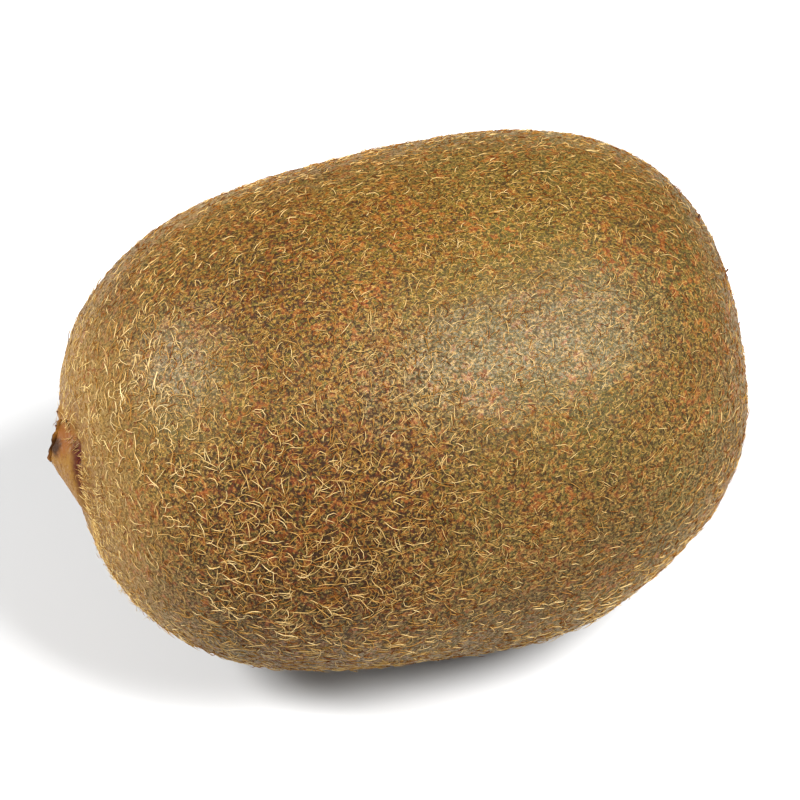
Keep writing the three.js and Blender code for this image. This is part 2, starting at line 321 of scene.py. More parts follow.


# %% [markdown]
# ### Skin colour
# Close up the skin is a mosaic: brown ground, rusty blotches half a millimetre across, olive ones between
# them where the flesh shows through, and a felt of hairs too fine to model one by one. Between those hairs
# small dark gaps are painted as shade. It could be painted on an image, but noise textures on Object
# coordinates have no seams and stay sharp close up, so each noise, through a fade, lays one colour over the
# last. Broad soft spots then change the mosaic from place to place: darker in a few, partly as painted
# shade on the near flank and the top right, and greener with fewer rusty blotches and dark gaps as a painted
# highlight where the two soft boxes' highlights fall, where the skin is also glossier.

# %% A kit for building node materials
class Nodes:
    """A material's nodes, with short calls for the few kinds that this object needs."""

    def __init__(self, name):
        self.material = bpy.data.materials.new(name)
        self.material.use_nodes = True
        self.tree = self.material.node_tree
        self.shader = self.tree.nodes["Principled BSDF"]
        self.shader.inputs["Specular IOR Level"].default_value = 0.1

    def add(self, kind, **settings):
        node = self.tree.nodes.new(kind)
        for name, value in settings.items():
            setattr(node, name, value)
        return node

    def link(self, output, socket):
        self.tree.links.new(output, socket)

    def place(self, shift=(0, 0, 0), stretch=(1, 1, 1)):
        coordinates = self.add("ShaderNodeTexCoord")
        mapping = self.add("ShaderNodeMapping")
        mapping.inputs["Location"].default_value = shift
        mapping.inputs["Scale"].default_value = stretch
        self.link(coordinates.outputs["Object"], mapping.inputs["Vector"])
        return mapping.outputs["Vector"]

    def within(self, place, middle=(0, 0, 0), stretch=(1, 1, 1)):
        """Distance from a middle, as seen in a small frame, with each axis stretched."""
        coordinates = self.add("ShaderNodeTexCoord")
        mapping = self.add("ShaderNodeMapping", vector_type="TEXTURE")
        mapping.inputs["Location"].default_value = place.translation
        mapping.inputs["Rotation"].default_value = place.to_euler()
        self.link(coordinates.outputs["Object"], mapping.inputs["Vector"])
        shifted = self.add("ShaderNodeVectorMath", operation="SUBTRACT")
        shifted.inputs[1].default_value = middle
        self.link(mapping.outputs["Vector"], shifted.inputs[0])
        stretched = self.add("ShaderNodeVectorMath", operation="MULTIPLY")
        stretched.inputs[1].default_value = stretch
        self.link(shifted.outputs["Vector"], stretched.inputs[0])
        length = self.add("ShaderNodeVectorMath", operation="LENGTH")
        self.link(stretched.outputs["Vector"], length.inputs[0])
        return length.outputs["Value"]

    def along(self, axis):
        """How far a place is along the part's X, Y or Z."""
        parts = self.add("ShaderNodeSeparateXYZ")
        self.link(self.place(), parts.inputs["Vector"])
        return parts.outputs[axis]

    def noise(self, size, detail=2.0, roughness=0.5, shift=(0, 0, 0), stretch=(1, 1, 1)):
        """Noise from 0 to 1, with blotches of about the given size."""
        noise = self.add("ShaderNodeTexNoise")
        noise.inputs["Scale"].default_value = 1 / size
        noise.inputs["Detail"].default_value = detail
        noise.inputs["Roughness"].default_value = roughness
        self.link(self.place(shift, stretch), noise.inputs["Vector"])
        return noise.outputs["Fac"]

    def threads(self, size, width, shift=(0, 0, 0), stretch=(1, 1, 1)):
        """Thin curling lines: where a noise is within a width of its middle value."""
        offset = self.maths("SUBTRACT", self.noise(size, 1.0, 0.5, shift, stretch), 0.5)
        return self.fade(self.maths("ABSOLUTE", offset), 0.0, width, 1.0, 0.0)

    def maths(self, operation, *values):
        node = self.add("ShaderNodeMath", operation=operation)
        for socket, value in zip(node.inputs, values):
            if isinstance(value, (int, float)):
                socket.default_value = value
            else:
                self.link(value, socket)
        return node.outputs["Value"]

    def fade(self, value, low, high, result_low=0.0, result_high=1.0):
        """Turns a stretch of one value into another, held at its ends."""
        node = self.add("ShaderNodeMapRange", interpolation_type="SMOOTHSTEP")
        node.inputs["From Min"].default_value = low
        node.inputs["From Max"].default_value = high
        node.inputs["To Min"].default_value = result_low
        node.inputs["To Max"].default_value = result_high
        self.link(value, node.inputs["Value"])
        return node.outputs["Result"]

    def mix(self, share, first, second):
        """Mixes two colours, each a link or a triple, by a share."""
        node = self.add("ShaderNodeMix", data_type="RGBA")
        sockets = [s for s in node.inputs if s.type == "RGBA"]
        for socket, colour in zip(sockets, (first, second)):
            if isinstance(colour, tuple):
                socket.default_value = (*colour, 1)
            else:
                self.link(colour, socket)
        self.link(share, node.inputs[0])
        return next(s for s in node.outputs if s.type == "RGBA")

    def near(self, point, radius, softness, ragged):
        """1 within a distance of a point and 0 well outside it, with an edge that wanders by ragged."""
        distance = self.within(Matrix.Translation(point))
        ripple = self.maths("MULTIPLY", self.noise(ragged, 3.0, 0.7, (0.6, 0.1, 0.4)), 2 * ragged)
        distance = self.maths("ADD", distance, self.maths("SUBTRACT", ripple, ragged))
        return self.fade(distance, radius, radius + softness, 1.0, 0.0)

    def colour(self, output):
        self.link(output, self.shader.inputs["Base Color"])

    def bump(self, height, distance, strength):
        node = self.add("ShaderNodeBump")
        node.inputs["Distance"].default_value = distance
        node.inputs["Strength"].default_value = strength
        self.link(height, node.inputs["Height"])
        self.link(node.outputs["Normal"], self.shader.inputs["Normal"])


# %% Tones and spots of the skin
GROUND = (0.078, 0.033, 0.0042)
OLIVE = (0.052, 0.039, 0.0055)
MOSS = (0.054, 0.041, 0.0080)
RUST = (0.150, 0.045, 0.008)
FELT = (0.228, 0.138, 0.036)
# Near-black, greener and reddish browns of the painted shade between the hairs. The first also darkens broad
# random patches.
DEEP_BROWN_AND_SHADE = (0.012, 0.0032, 0.0002)
PEAT = (0.015, 0.0075, 0.0003)
EMBER = (0.060, 0.0125, 0.0012)
TAN = (0.200, 0.106, 0.018)
GOLD = (0.155, 0.074, 0.011)
AMBER = (0.085, 0.028, 0.0035)
OCHRE = (0.135, 0.072, 0.012)
LIP = (0.13, 0.042, 0.004)
# The moat's maroon, dark as painted shade in its groove.
MAROON_AND_GROOVE_SHADE = (0.055, 0.005, 0.003)
STAIN = (0.022, 0.0075, 0.0015)

# Dark spots: darker skin and duller hair, partly their own colour and partly painted shade on the near flank
# and the top right.
DARK_AND_SHADE_SPOTS = (  # middle and radius in mm, and how dark
    ((-16, -23, 30), 15, 1.0),
    ((-15, -5, 46), 10, 0.5),
    ((22, -12, 43), 11, 0.35),
    ((12, 24, 20), 16, 0.7),
)
# Spots of painted highlight where the two soft boxes' highlights fall: greener skin with fewer rusty
# blotches and dark gaps, and glossier too.
GLOSS_AND_HIGHLIGHT_SPOTS = (((7, -17, 44), 14), ((-25, -10, 41), 8))  # middle and radius in mm


def broad_spot(nodes, spot, radius, ragged):
    """A soft blotch on the skin, 1 in its middle, from sizes in mm."""
    return nodes.near(Vector(spot) * MM, 0.3 * radius * MM, 0.9 * radius * MM, ragged * MM)


coat = Nodes("kiwi_skin")
# How dark each place is in the dark spots, partly painted shade.
dark = 0.0
for spot, radius, amount in DARK_AND_SHADE_SPOTS:
    dark = coat.maths("MULTIPLY_ADD", broad_spot(coat, spot, radius, 3), amount, dark)
# How much painted highlight, and gloss, each place has.
gloss_and_highlight = 0.0
for spot, radius in GLOSS_AND_HIGHLIGHT_SPOTS:
    gloss_and_highlight = coat.maths("ADD", broad_spot(coat, spot, radius, 2), gloss_and_highlight)
around_stem = coat.within(STEM)
print("broad spots:", len(DARK_AND_SHADE_SPOTS), "dark and", len(GLOSS_AND_HIGHLIGHT_SPOTS), "gloss_and_highlight")

# %% Brown, olive and rust
greener = coat.fade(coat.along("X"), -12 * MM, 16 * MM, 0.05, 0.65)
greener = coat.maths("MULTIPLY_ADD", gloss_and_highlight, 0.45, greener)
green_region = coat.fade(coat.noise(7 * MM, 2.0, 0.5, (0.3, 0.8, 0.1)), 0.35, 0.65, -0.25, 0.35)
greener = coat.maths("ADD", green_region, greener)
tone = coat.mix(coat.fade(coat.noise(0.5 * MM, 3.0, 0.6), 0.42, 0.58), GROUND, OLIVE)
tone = coat.mix(greener, tone, MOSS)
tone = coat.mix(coat.fade(around_stem, 8 * MM, 23 * MM, 0.65, 0.0), tone, TAN)

rusty_patch = coat.fade(coat.noise(2.0 * MM, 3.0, 0.6, (0.7, 0.2, 0.9)), 0.42, 0.60, 0.2, 0.9)
rusty_region = coat.fade(coat.noise(9 * MM, 2.0, 0.5, (0.5, 0.2, 0.6)), 0.35, 0.65, -0.25, 0.25)
rusty_patch = coat.maths("ADD", rusty_region, rusty_patch)
rusty_patch = coat.maths("MULTIPLY_ADD", gloss_and_highlight, -0.35, rusty_patch)
rusty_patch = coat.maths("MULTIPLY_ADD", dark, 0.3, rusty_patch)
rusty_spot = coat.fade(coat.noise(0.7 * MM, 3.0, 0.6, (0.31, 0.7, 0.2)), 0.50, 0.60)
rust_share = coat.maths("MULTIPLY", rusty_patch, rusty_spot)
tone = coat.mix(rust_share, tone, RUST)
print("mosaic:", len(coat.tree.nodes), "nodes so far")

# %% [markdown]
# The felt is drawn where a noise crosses its middle value, because such a contour curls just as fine hair
# does. The gaps between the hairs are painted shade: reddish on rust and deep brown elsewhere. They are
# strongest in the dark spots, and weaker in the spots of painted highlight, round both ends and towards the
# table.

# %% Felt and the painted shade in its gaps
tone = coat.mix(coat.threads(0.40 * MM, 0.030, (0.4, 0.2, 0.8)), tone, TAN)
tone = coat.mix(coat.threads(0.45 * MM, 0.035, (0.8, 0.3, 0.5), (0.6, 1, 1)), tone, FELT)
# Painted shade in the gaps between the hairs, deepest in the dark spots.
gaps = coat.maths("MULTIPLY_ADD", dark, 0.05, coat.noise(0.30 * MM, 4.0, 0.65, (0.1, 0.9, 0.6)))
gap_shade_tone = coat.mix(rust_share, coat.mix(greener, DEEP_BROWN_AND_SHADE, PEAT), EMBER)
gap_shade_share = coat.fade(gaps, 0.49, 0.57)
for opening in (
    coat.fade(dark, 0.0, 0.8, 0.88, 0.96),
    coat.fade(gloss_and_highlight, 0.0, 1.0, 1.0, 0.65),
    coat.fade(around_stem, 11 * MM, 22 * MM, 0.50, 1.0),
    coat.fade(coat.along("Z"), 6 * MM, 22 * MM, 0.60, 1.0),
    coat.fade(coat.within(BLOSSOM), 14 * MM, 30 * MM, 0.75, 1.0),
):
    gap_shade_share = coat.maths("MULTIPLY", gap_shade_share, opening)
tone = coat.mix(gap_shade_share, tone, gap_shade_tone)
# Broad random patches of darker skin.
tone = coat.mix(coat.fade(coat.noise(11 * MM, 2.0), 0.35, 0.7, 0.0, 0.2), tone, DEEP_BROWN_AND_SHADE)
print("felt and gaps:", len(coat.tree.nodes), "nodes so far")

# %% [markdown]
# Towards the stem the skin turns ochre, and the button's flank is golden with amber blotches. A maroon
# moat, darkened in its groove as painted shade, an orange lip and a dark stain at the scar each sit at one
# spot. The gaps are duller than the ground, less so in the spots of painted highlight, and a weak sheen
# stands for the light that the finest fuzz catches.

# %% Stem end of the skin
STAIN_SPOT = Vector((-35.0, 1.7, 27.6)) * MM
MOAT_SPOT = Vector((-33.8, -1.5, 27.0)) * MM
LIP_SPOT = Vector((-34.4, 1.5, 28.7)) * MM

mottle = coat.fade(coat.noise(0.6 * MM, 4.0, 0.65, (0.2, 0.1, 0.7)), 0.42, 0.60)
collar = coat.mix(mottle, coat.mix(coat.threads(0.5 * MM, 0.03), AMBER, FELT), OCHRE)
tone = coat.mix(coat.fade(around_stem, 6.0 * MM, 10.5 * MM, 0.85, 0.0), tone, collar)

moat_middle, half_along, half_across = MOAT
oval_size = coat.within(STEM, (moat_middle * MM, 0, 0), (1 / half_along, 0, 1 / half_across))
blotches = coat.fade(coat.noise(0.40 * MM, 4.0, 0.75, (0.2, 0.1, 0.7)), 0.48, 0.66, 0.0, 0.9)
inside_moat = coat.fade(oval_size, 0.85 * MM, 1.0 * MM, 1.0, 0.0)
at_button = coat.fade(around_stem, 8 * MM, 10 * MM, 1.0, 0.0)
on_flank = coat.maths("MULTIPLY", inside_moat, at_button)
tone = coat.mix(on_flank, tone, coat.mix(blotches, GOLD, AMBER))
tone = coat.mix(coat.near(LIP_SPOT, 1.0 * MM, 1.5 * MM, 0.8 * MM), tone, LIP)

# The moat's groove gets the maroon as painted shade.
off_moat = coat.maths("ABSOLUTE", coat.maths("SUBTRACT", oval_size, 1.0 * MM))
in_groove = coat.fade(off_moat, 0.07 * MM, 0.16 * MM, 1.0, 0.0)
at_moat_spot = coat.near(MOAT_SPOT, 1.6 * MM, 1.6 * MM, 0.5 * MM)
tone = coat.mix(coat.maths("MULTIPLY", in_groove, at_moat_spot), tone, MAROON_AND_GROOVE_SHADE)
tone = coat.mix(coat.near(STAIN_SPOT, 0.4 * MM, 0.9 * MM, 0.6 * MM), tone, STAIN)
coat.colour(tone)

# %% Gloss, sheen and grain of the skin
GLOSSIEST = 0.37
dullness = coat.maths("MULTIPLY", coat.fade(gaps, 0.44, 0.56), coat.fade(gloss_and_highlight, 0.0, 1.0, 0.35, 0.20))
coat.link(coat.maths("ADD", dullness, GLOSSIEST), coat.shader.inputs["Roughness"])
coat.shader.inputs["Sheen Weight"].default_value = 0.3
coat.shader.inputs["Sheen Roughness"].default_value = 0.3
coat.shader.inputs["Sheen Tint"].default_value = (0.36, 0.23, 0.075, 1)
coat.shader.inputs["Specular IOR Level"].default_value = 0.14
coat.bump(coat.noise(0.28 * MM, 3.0, 0.6, (0.5, 0.5, 0.1)), 0.1 * MM, 0.6)
skin.data.materials.append(coat.material)
print("skin material:", len(coat.tree.nodes), "nodes")


# %% [markdown]
# ## One strand for hair, bristle and style
# Everything thin on this fruit is one form: a closed strand that tapers to a point, or swells at its tip.
# It is modelled by hand once for each kind: a filled circle is extruded ring by ring and each ring is
# resized.

# %% Model a strand
def model_strand(name, sides, radii):
    """A closed strand from z = 0 to 1 with a ring for each radius. A last radius of 0 makes a point."""
    bpy.ops.object.select_all(action="DESELECT")
    bpy.ops.mesh.primitive_circle_add(vertices=sides, radius=radii[0], fill_type="NGON")
    strand = bpy.context.object
    strand.name = name
    bpy.ops.object.mode_set(mode="EDIT")
    bpy.ops.mesh.select_all(action="SELECT")
    step = 1 / (len(radii) - 1)
    for k in range(1, len(radii)):
        bpy.ops.mesh.extrude_region_move(TRANSFORM_OT_translate={"value": (0, 0, step)})
        if radii[k] == 0:
            bpy.ops.mesh.merge(type="CENTER")
        else:
            grown = radii[k] / radii[k - 1]
            bpy.ops.transform.resize(value=(grown, grown, 1), center_override=(0, 0, k * step))
    bpy.ops.mesh.select_all(action="SELECT")
    bpy.ops.mesh.quads_convert_to_tris()
    bpy.ops.mesh.normals_make_consistent(inside=False)
    bpy.ops.object.mode_set(mode="OBJECT")
    return strand


def strand_pattern(strand):
    """The strand as numbers: where each vertex is along and round it, and its triangles. The object goes."""
    points = points_of(strand)
    along = points[:, 2].clip(0, 1)
    triangles = np.array([tuple(p.vertices) for p in strand.data.polygons])
    bpy.data.objects.remove(strand)
    return along, points[:, :2].copy(), triangles


long_pattern = strand_pattern(model_strand("long_strand", 3, (1, 0.96, 0.85, 0.65, 0)))
curl_pattern = strand_pattern(model_strand("curl_strand", 3, (1, 0.95, 0.75, 0)))
short_pattern = strand_pattern(model_strand("short_strand", 3, (1, 0.85, 0)))
style_pattern = strand_pattern(model_strand("style_strand", 6, (1, 0.8, 0.62, 0.6, 0.66, 0.85, 1.05, 0.6)))
for name, pattern in (
    ("long", long_pattern),
    ("curl", curl_pattern),
    ("short", short_pattern),
    ("style", style_pattern),
):
    print(name, "strand:", len(pattern[2]), "triangles")


# %% [markdown]
# ## Growing strands on a surface
# Hair curves would look right but don't leave Blender as a mesh, so each hair is a bent copy of the
# modelled strand. The place, direction, curl and shade of each are drawn from a seeded stream, and all
# copies of a kind are put into one mesh. That much repetition is work for numpy, because operators would
# take hours.

# %% Where strands can grow
def surface_of(thing):
    """Every triangle's corners, its corners' normals and its area."""
    mesh = thing.data
    mesh.calc_loop_triangles()
    corners = np.empty(len(mesh.loop_triangles) * 3, dtype=np.int32)
    mesh.loop_triangles.foreach_get("vertices", corners)
    corners = corners.reshape(-1, 3)
    points = points_of(thing)
    normals = np.empty(len(mesh.vertices) * 3)
    mesh.vertices.foreach_get("normal", normals)
    normals = normals.reshape(-1, 3)
    a, b, c = (points[corners[:, i]] for i in range(3))
    area = np.linalg.norm(np.cross(b - a, c - a), axis=1) / 2
    return points, normals, corners, area


skin_surface = surface_of(skin)
print("skin area:", round(skin_surface[3].sum() / MM**2), "mm2")


def scatter(surface, count, random, weigh):
    """Random places on a surface, thinned or thickened by a weight, with the surface's normals there."""
    points, normals, corners, area = surface
    share = area * weigh(points[corners].mean(axis=1))
    picked = random.choice(len(corners), size=count, p=share / share.sum())
    u, v = random.random(count), random.random(count)
    flip = u + v > 1
    u[flip], v[flip] = 1 - u[flip], 1 - v[flip]
    blend = np.stack([1 - u - v, u, v], axis=1)[:, :, None]
    place = (points[corners[picked]] * blend).sum(axis=1)
    normal = (normals[corners[picked]] * blend).sum(axis=1)
    return place, normal / np.linalg.norm(normal, axis=1)[:, None]


# %% Bend copies of a strand
FRUIT_RADIUS = 26 * MM  # strands sink as far as a ball of this size falls away under them
ROOT_DEPTH = 0.06  # mm under the skin
TABLE_CLEARANCE = 0.02 * MM  # strands that reach lower than this are left out


def unit(vectors):
    return vectors / np.maximum(np.linalg.norm(vectors, axis=1), 1e-12)[:, None]


def grow(name, pattern, place, normal, comb, yaw, turn, kinks, lift, droop, length, width, shade):
    """One mesh of strands. Each starts on the skin, leaves it at its lift and sinks by its droop. In the
    skin's plane it starts at its yaw from the comb's direction and bends by its turn, with kinks."""
    along, across, triangles = pattern
    count = len(place)
    rings = np.unique(np.round(along, 4))
    comb = unit(comb - normal * (comb * normal).sum(axis=1)[:, None])
    side = np.cross(normal, comb)
    spine = [place - normal * ROOT_DEPTH * MM]
    directions = []
    for k in range(len(rings)):
        share = rings[k]
        yaw_here = (yaw + turn * share**1.3 + kinks[:, :k].sum(axis=1))[:, None]
        lift_here = (lift - droop * share)[:, None]
        heading = comb * np.cos(yaw_here) + side * np.sin(yaw_here)
        directions.append(heading * np.cos(lift_here) + normal * np.sin(lift_here))
        if k:
            middle = unit(directions[k] + directions[k - 1])
            spine.append(spine[-1] + middle * (length * (share - rings[k - 1]))[:, None])
    points = np.empty((count, len(along), 3))
    for k, share in enumerate(rings):
        reach = np.linalg.norm(spine[k] - place, axis=1)
        centre = spine[k] - normal * (reach**2 / (2 * FRUIT_RADIUS))[:, None]
        right = unit(np.cross(directions[k], normal + 1e-3))
        upper = np.cross(right, directions[k])
        radius = (width / 2)[:, None]
        for vertex in np.nonzero(np.abs(along - share) < 1e-3)[0]:
            points[:, vertex] = centre + radius * (right * across[vertex, 0] + upper * across[vertex, 1])
    kept = points[:, :, 2].min(axis=1) > TABLE_CLEARANCE
    return strand_mesh(name, points[kept], triangles, along, across, shade[kept])


def strand_mesh(name, points, triangles, along, across, shade):
    """Puts the bent copies into one mesh. Its UV map holds the strand's shade across, and root to tip up."""
    count, size = points.shape[:2]
    faces = (triangles[None] + (np.arange(count) * size)[:, None, None]).reshape(-1, 3)
    mesh = bpy.data.meshes.new(name)
    mesh.vertices.add(count * size)
    mesh.vertices.foreach_set("co", points.astype(np.float32).ravel())
    mesh.loops.add(faces.size)
    mesh.loops.foreach_set("vertex_index", faces.astype(np.int32).ravel())
    mesh.polygons.add(len(faces))
    mesh.polygons.foreach_set("loop_start", np.arange(0, faces.size, 3, dtype=np.int32))
    mesh.update(calc_edges=True)
    u = (0.004 + 0.99 * shade)[:, None] + 0.001 * across[None, :, 0]
    v = np.broadcast_to(0.01 + 0.98 * along, (count, size))
    chart = np.stack([u, v], axis=2).reshape(-1, 2)[faces.ravel()].astype(np.float32)
    for layer in ("strand", "OFBake"):  # for the material, and the same map again as OFBake
        mesh.uv_layers.new(name=layer).data.foreach_set("uv", chart.ravel())
    mesh.polygons.foreach_set("use_smooth", np.ones(len(faces), dtype=bool))
    mesh.validate()
    strands = bpy.data.objects.new(name, mesh)
    bpy.context.scene.collection.objects.link(strands)
    print(name, count, "strands,", len(faces), "triangles")
    return strands


# %% Strand material
def strand_material(name, stops, root_tone, root_share, tip_tone=None, tip_share=0.0):
    """Strands coloured by their shade, between stops from dark to pale, with other tones at root and tip."""
    hair = Nodes(name)
    strand = hair.add("ShaderNodeUVMap", uv_map="strand")
    parts = hair.add("ShaderNodeSeparateXYZ")
    hair.link(strand.outputs["UV"], parts.inputs["Vector"])
    ramp = hair.add("ShaderNodeValToRGB")
    elements = ramp.color_ramp.elements
    elements[0].position, elements[0].color = stops[0][0], (*stops[0][1], 1)
    elements[1].position, elements[1].color = stops[-1][0], (*stops[-1][1], 1)
    for position, tone in stops[1:-1]:
        elements.new(position).color = (*tone, 1)
    hair.link(parts.outputs["X"], ramp.inputs["Fac"])
    at_root = hair.fade(parts.outputs["Y"], 0.0, 0.35, root_share, 0.0)
    tone = hair.mix(at_root, ramp.outputs["Color"], root_tone)
    if tip_tone:
        tone = hair.mix(hair.fade(parts.outputs["Y"], 0.6, 1.0, 0.0, tip_share), tone, tip_tone)
    hair.colour(tone)
    hair.shader.inputs["Roughness"].default_value = 0.6
    hair.shader.inputs["Specular IOR Level"].default_value = 0.03
    return hair.material


fuzz_material = strand_material(
    "tan_fuzz",
    stops=[
        (0.0, (0.065, 0.015, 0.002)),
        (0.25, (0.15, 0.048, 0.007)),
        (0.5, (0.24, 0.122, 0.026)),
        (0.75, (0.40, 0.265, 0.098)),
        (1.0, (0.54, 0.41, 0.205)),
    ],
    root_tone=(0.030, 0.009, 0.001),
    root_share=0.6,
)
gold_material = strand_material(
    "golden_bristle",
    stops=[(0.0, (0.20, 0.07, 0.012)), (0.5, (0.40, 0.25, 0.080)), (1.0, (0.64, 0.50, 0.22))],
    root_tone=(0.14, 0.03, 0.004),
    root_share=0.7,
)
print("strand materials:", fuzz_material.name, "and", gold_material.name)


# %% [markdown]
# ## The coat
# A ripe kiwi fruit wears rusty curls and short stubble all over, and two lengths of paler dead hair lie on
# them. One even layer would look like a brush, so each kind is grown as a coat of its own. Locks a few
# millimetres wide are combed together, loosely along the fruit, part of the hairs stand any way, and one
# shoulder near the stem is shaggier than the rest.

# %% Where hair is shaggy, thin, pale or dull
SHAGGY_SPOTS = (  # middle and radius in mm, and how shaggy
    ((-18, -20, 28), 18, 1.0),
    ((-29, -9, 38), 8, 1.0),
    ((-12, 22, 14), 17, 0.5),
    ((10, -18, 12), 9, 0.5),
)
WORN_SPOT, WORN_RADIUS, WORN_BALDNESS = (-31, -11, 22), 7.5, 0.8  # mm, and the share of hair that is gone
GOLDEN_RADIUS, TOUSLED_RADIUS = 16, 11  # mm round the stem
SHADE_CHANGE = 0.12  # how much paler hair is in the one and duller in the dark spots
SOCKET_RADIUS = 2.9 * MM


def nearness(place, middle, radius):
    """1 at a spot and falling smoothly away from it, from sizes in mm."""
    distance = np.linalg.norm(place - np.array(middle) * MM, axis=1) / (radius * MM)
    return np.exp(-(distance**2))


def stem_nearness(place, radius):
    distance = np.linalg.norm(place - np.array(STEM.translation), axis=1) / (radius * MM)
    return np.exp(-(distance**2))


def shagginess(place):
    """1 in the middle of the shaggiest patch, near the stem end, and 0 far from any patch."""
    most = np.zeros(len(place))
    for spot, radius, amount in SHAGGY_SPOTS:
        most = np.maximum(most, amount * nearness(place, spot, radius))
    return most


def swirls(place):
    """The way hair is combed, in radians away from the fruit's length. Locks a few millimetres wide turn
    together, and the top of the fruit is combed across."""
    x, y, z = place.T / MM
    locks = 0.9 * np.sin(0.55 * x + 0.35 * z + 1.0) + 0.7 * np.sin(0.8 * z - 0.3 * x + 0.5 * y)
    return locks + 1.1 * np.clip((z - 28) / 10, 0, 1)


def hair_density(place):
    """No hair grows on the stem button or in the styles' socket, and little where the skin is worn."""
    oval, _, height = round_the_button(place, BARE)
    stem = (oval > 1) | (height < BARE_REACH)
    blossom = np.linalg.norm(place - np.array(BLOSSOM.translation), axis=1) > SOCKET_RADIUS
    return stem * blossom * (1 - WORN_BALDNESS * nearness(place, WORN_SPOT, WORN_RADIUS))


def paleness(place):
    """How much paler or darker than usual hairs are: golden near the stem, and darker in the dark spots,
    partly as painted shade.
    """
    change = SHADE_CHANGE * stem_nearness(place, GOLDEN_RADIUS)
    for spot, radius, amount in DARK_AND_SHADE_SPOTS:
        change -= SHADE_CHANGE * amount * nearness(place, spot, radius)
    return change


print("shaggy skin:", round(100 * (shagginess(points_of(skin)) > 0.5).mean()), "% of its points")


# %% Comb the coats
KINKS = 8  # drawn for each strand, enough for the kind with the most rings
COMB_SPREAD = 0.45  # radians
DROOP = (0.05, 0.3)  # radians


def coat_of_hair(
    name, pattern, count, seed, length, width, shade, wildness, turn, kink, lift, growth, crowding
):
    """A coat over the whole skin, from ranges of length and width in mm and of lift in radians. The shade's
    two numbers lean it dark or pale. In shaggy patches hair is longer by growth and denser by crowding."""
    random = np.random.default_rng(seed)

    def weigh(place):
        return hair_density(place) * (1 + (crowding - 1) * shagginess(place))

    place, normal = scatter(skin_surface, count, random, weigh)
    shaggy = shagginess(place)
    stem_share = stem_nearness(place, TOUSLED_RADIUS)
    comb = np.tile((1.0, 0, 0), (count, 1))
    wild = random.random(count) < wildness + 0.1 * shaggy + 0.5 * stem_share
    combed = swirls(place) * (0.3 + 0.7 * shaggy) + random.normal(0, COMB_SPREAD, count)
    yaw = np.where(wild, random.uniform(-math.pi, math.pi, count), combed)
    start = random.uniform(*lift, count) * (1 - 0.7 * stem_share)
    return grow(
        name,
        pattern,
        place,
        normal,
        comb,
        yaw,
        turn=random.normal(0, turn, count) * (0.8 + 0.6 * shaggy + 0.8 * stem_share),
        kinks=random.normal(0, kink, (count, KINKS)),
        lift=start,
        droop=start + random.uniform(*DROOP, count),
        length=random.uniform(*length, count) * MM * (1 + (growth - 1) * shaggy),
        width=random.uniform(*width, count) * MM,
        shade=(random.beta(*shade, count) + 0.15 * (shaggy - 0.8) + paleness(place)).clip(0, 1),
    )


hair_pieces = [
    coat_of_hair(
        "rusty_curls", curl_pattern, count=9500, seed=100,
        length=(0.5, 0.95), width=(0.09, 0.14), shade=(1.2, 4.0),
        wildness=0.8, turn=1.8, kink=0.3, lift=(0.15, 0.4), growth=1.0, crowding=1.2,
    ),
    coat_of_hair(
        "stubble", short_pattern, count=19500, seed=101,
        length=(0.4, 0.9), width=(0.055, 0.085), shade=(1.6, 2.0),
        wildness=0.6, turn=0.6, kink=0.3, lift=(0.1, 0.4), growth=1.1, crowding=1.0,
    ),
    coat_of_hair(
        "middle_hair", long_pattern, count=8900, seed=103,
        length=(0.8, 1.5), width=(0.06, 0.09), shade=(2.0, 2.0),
        wildness=0.35, turn=1.1, kink=0.3, lift=(0.15, 0.4), growth=1.3, crowding=1.0,
    ),
    coat_of_hair(
        "long_hair", long_pattern, count=8900, seed=104,
        length=(0.9, 1.7), width=(0.065, 0.10), shade=(3.0, 1.4),
        wildness=0.25, turn=1.3, kink=0.35, lift=(0.2, 0.5), growth=1.6, crowding=3.0,
    ),
]
for piece in hair_pieces:
    piece.data.materials.append(fuzz_material)


# %% [markdown]
# ## Stem scar
# Where the stalk broke off, a corky ring surrounds a dished scar with the dead stump in its middle. It is
# small and round, so a filled circle is extruded and resized ring by ring, from under the flank over the
# rim to the middle. Two cloud textures then make it lumpy and rough.

# %% Turn the scar
UPRIGHT = Matrix.Rotation(-math.pi / 2, 4, "X")  # lays a piece's Z along a small frame's Y
SCAR_LEAN, SCAR_TILT = -0.25, -0.52  # radians
BUTTON = STEM @ Matrix.Translation(Vector((3.0, 1.2, 0)) * MM) @ Matrix.Rotation(SCAR_LEAN, 4, "X")
BUTTON = BUTTON @ Matrix.Rotation(SCAR_TILT, 4, "Z")
BUTTON = BUTTON @ UPRIGHT
SCAR_RINGS = [  # radius and height over the rim's plane, mm
    (2.10, -0.60),
    (2.12, -0.18),
    (2.04, -0.02),
    (1.92, 0.10),
    (1.78, 0.13),
    (1.62, 0.08),
    (1.48, -0.06),
    (1.38, -0.24),
    (1.22, -0.33),
    (0.98, -0.35),
    (0.80, -0.31),
    (0.68, -0.16),
    (0.58, -0.04),
    (0.42, 0.01),
    (0.20, -0.03),
]


